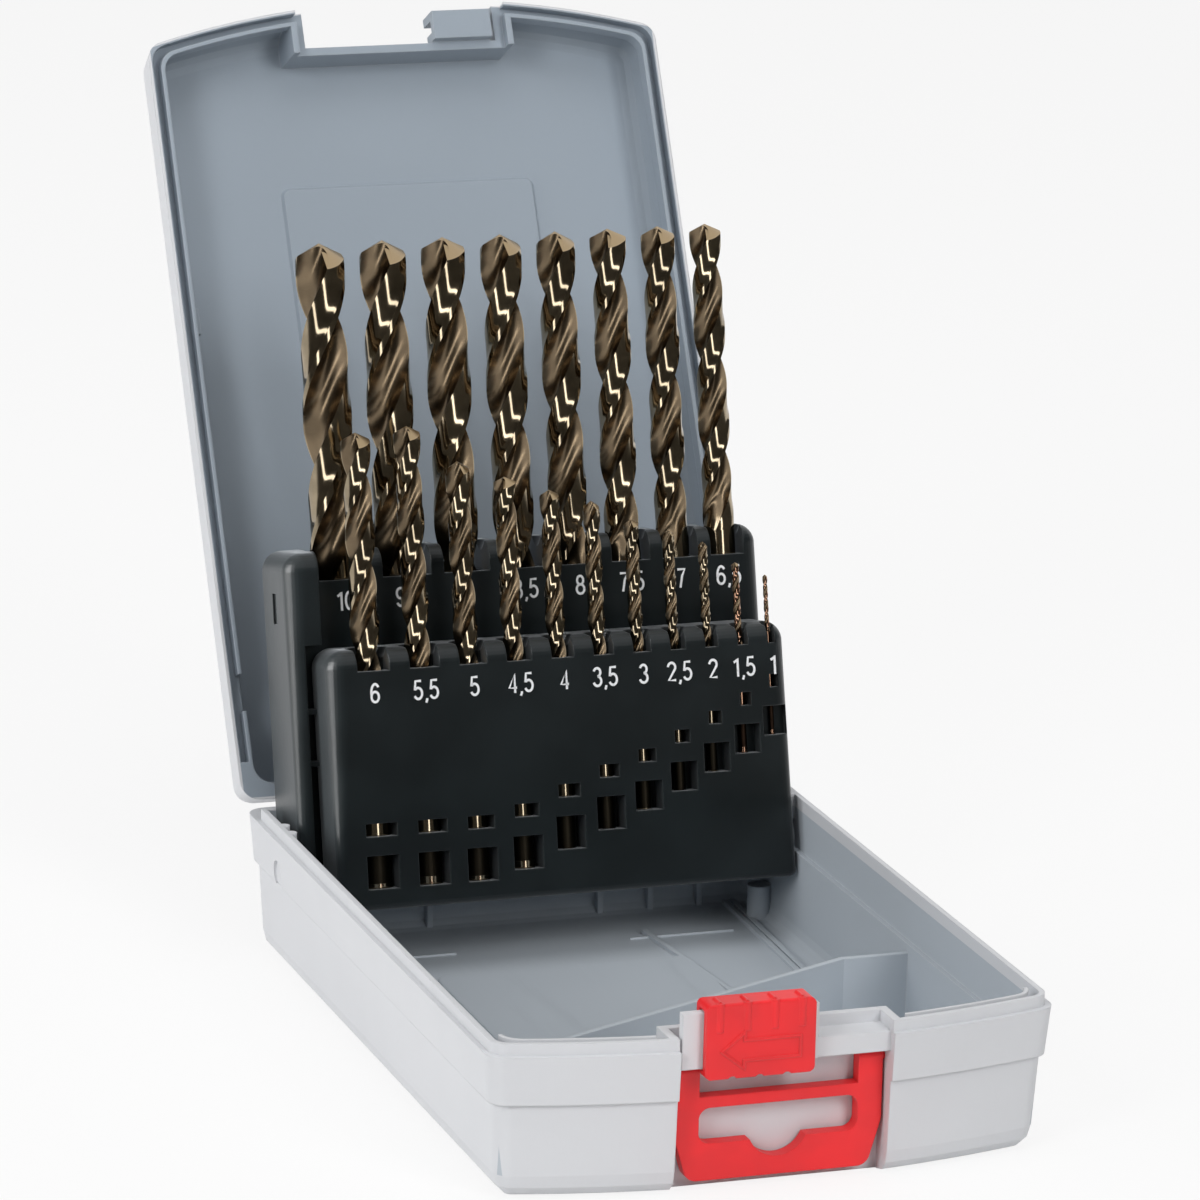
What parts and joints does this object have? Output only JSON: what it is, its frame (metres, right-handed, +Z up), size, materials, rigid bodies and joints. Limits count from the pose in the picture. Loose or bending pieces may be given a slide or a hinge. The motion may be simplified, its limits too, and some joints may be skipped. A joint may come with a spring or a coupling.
{
  "type": "drill bit case",
  "caption": "Hinged plastic case with a sliding latch, a swing-out hanger and a tiered holder that lifts a set of twist drills upright as the lid opens.",
  "frame": {"origin": "middle of the footprint, on the flat underside that the case stands on", "axes": "+Z up, +Y towards the hinge at the back, the latch and hanger face -Y, +X to the right seen from the latch"},
  "size_m": [0.112, 0.2591, 0.1778],
  "materials": {
    "case_grey": "fine moulded texture",
    "holder_black": "fine moulded texture",
    "red": "satin",
    "drill_steel": "polished flutes with a bronze tint"
  },
  "bodies": {
    "case": {"base_tray": "case_grey"},
    "cover": {"lid": "case_grey"},
    "holder": {"bit_holder": "holder_black"},
    "slider": {"latch": "red"},
    "hang_loop": {"hanger": "red"},
    "bit_10_0": {"drill_10_0": "drill_steel"},
    "bit_9_5": {"drill_9_5": "drill_steel"},
    "bit_9_0": {"drill_9_0": "drill_steel"},
    "bit_8_5": {"drill_8_5": "drill_steel"},
    "bit_8_0": {"drill_8_0": "drill_steel"},
    "bit_7_5": {"drill_7_5": "drill_steel"},
    "bit_7_0": {"drill_7_0": "drill_steel"},
    "bit_6_5": {"drill_6_5": "drill_steel"},
    "bit_6_0": {"drill_6_0": "drill_steel"},
    "bit_5_5": {"drill_5_5": "drill_steel"},
    "bit_5_0": {"drill_5_0": "drill_steel"},
    "bit_4_5": {"drill_4_5": "drill_steel"},
    "bit_4_0": {"drill_4_0": "drill_steel"},
    "bit_3_5": {"drill_3_5": "drill_steel"},
    "bit_3_0": {"drill_3_0": "drill_steel"},
    "bit_2_5": {"drill_2_5": "drill_steel"},
    "bit_2_0": {"drill_2_0": "drill_steel"},
    "bit_1_5": {"drill_1_5": "drill_steel"},
    "bit_1_0": {"drill_1_0": "drill_steel"}
  },
  "joints": [
    {"name": "lid_hinge", "type": "hinge", "parent": "case", "child": "cover", "pos_m": [0, 0.0818, 0.0289], "axis": [-1, 0, 0], "range_deg": [-118.2, 0]},
    {"name": "holder_pivot", "type": "hinge", "parent": "case", "child": "holder", "pos_m": [0, 0.0585, 0.0216], "axis": [-1, 0, 0], "range_deg": [-102.5, 0]},
    {"name": "latch_slide", "type": "slide", "parent": "case", "child": "slider", "axis": [-1, 0, 0], "range_m": [-0.0088, 0]},
    {"name": "hanger_pivot", "type": "hinge", "parent": "case", "child": "hang_loop", "pos_m": [0, -0.0814, 0.0231], "axis": [-1, 0, 0], "range_deg": [0, 55]},
    {"name": "bit_10_0_pull", "type": "slide", "parent": "holder", "child": "bit_10_0", "axis": [0, 0.2164, 0.9763], "range_m": [0, 0.073]},
    {"name": "bit_9_5_pull", "type": "slide", "parent": "holder", "child": "bit_9_5", "axis": [0, 0.2164, 0.9763], "range_m": [0, 0.065]},
    {"name": "bit_9_0_pull", "type": "slide", "parent": "holder", "child": "bit_9_0", "axis": [0, 0.2164, 0.9763], "range_m": [0, 0.065]},
    {"name": "bit_8_5_pull", "type": "slide", "parent": "holder", "child": "bit_8_5", "axis": [0, 0.2164, 0.9763], "range_m": [0, 0.057]},
    {"name": "bit_8_0_pull", "type": "slide", "parent": "holder", "child": "bit_8_0", "axis": [0, 0.2164, 0.9763], "range_m": [0, 0.057]},
    {"name": "bit_7_5_pull", "type": "slide", "parent": "holder", "child": "bit_7_5", "axis": [0, 0.2164, 0.9763], "range_m": [0, 0.049]},
    {"name": "bit_7_0_pull", "type": "slide", "parent": "holder", "child": "bit_7_0", "axis": [0, 0.2164, 0.9763], "range_m": [0, 0.049]},
    {"name": "bit_6_5_pull", "type": "slide", "parent": "holder", "child": "bit_6_5", "axis": [0, 0.2164, 0.9763], "range_m": [0, 0.041]},
    {"name": "bit_6_0_pull", "type": "slide", "parent": "holder", "child": "bit_6_0", "axis": [0, 0.2164, 0.9763], "range_m": [0, 0.0516]},
    {"name": "bit_5_5_pull", "type": "slide", "parent": "holder", "child": "bit_5_5", "axis": [0, 0.2164, 0.9763], "range_m": [0, 0.0509]},
    {"name": "bit_5_0_pull", "type": "slide", "parent": "holder", "child": "bit_5_0", "axis": [0, 0.2164, 0.9763], "range_m": [0, 0.0516]},
    {"name": "bit_4_5_pull", "type": "slide", "parent": "holder", "child": "bit_4_5", "axis": [0, 0.2164, 0.9763], "range_m": [0, 0.0493]},
    {"name": "bit_4_0_pull", "type": "slide", "parent": "holder", "child": "bit_4_0", "axis": [0, 0.2164, 0.9763], "range_m": [0, 0.0475]},
    {"name": "bit_3_5_pull", "type": "slide", "parent": "holder", "child": "bit_3_5", "axis": [0, 0.2164, 0.9763], "range_m": [0, 0.0452]},
    {"name": "bit_3_0_pull", "type": "slide", "parent": "holder", "child": "bit_3_0", "axis": [0, 0.2164, 0.9763], "range_m": [0, 0.0406]},
    {"name": "bit_2_5_pull", "type": "slide", "parent": "holder", "child": "bit_2_5", "axis": [0, 0.2164, 0.9763], "range_m": [0, 0.0391]},
    {"name": "bit_2_0_pull", "type": "slide", "parent": "holder", "child": "bit_2_0", "axis": [0, 0.2164, 0.9763], "range_m": [0, 0.034]},
    {"name": "bit_1_5_pull", "type": "slide", "parent": "holder", "child": "bit_1_5", "axis": [0, 0.2164, 0.9763], "range_m": [0, 0.0297]},
    {"name": "bit_1_0_pull", "type": "slide", "parent": "holder", "child": "bit_1_0", "axis": [0, 0.2164, 0.9763], "range_m": [0, 0.0265]}
  ],
  "couplings": [
    {"joint": "holder_pivot", "follows": "lid_hinge", "ratio": 0.8672}
  ]
}
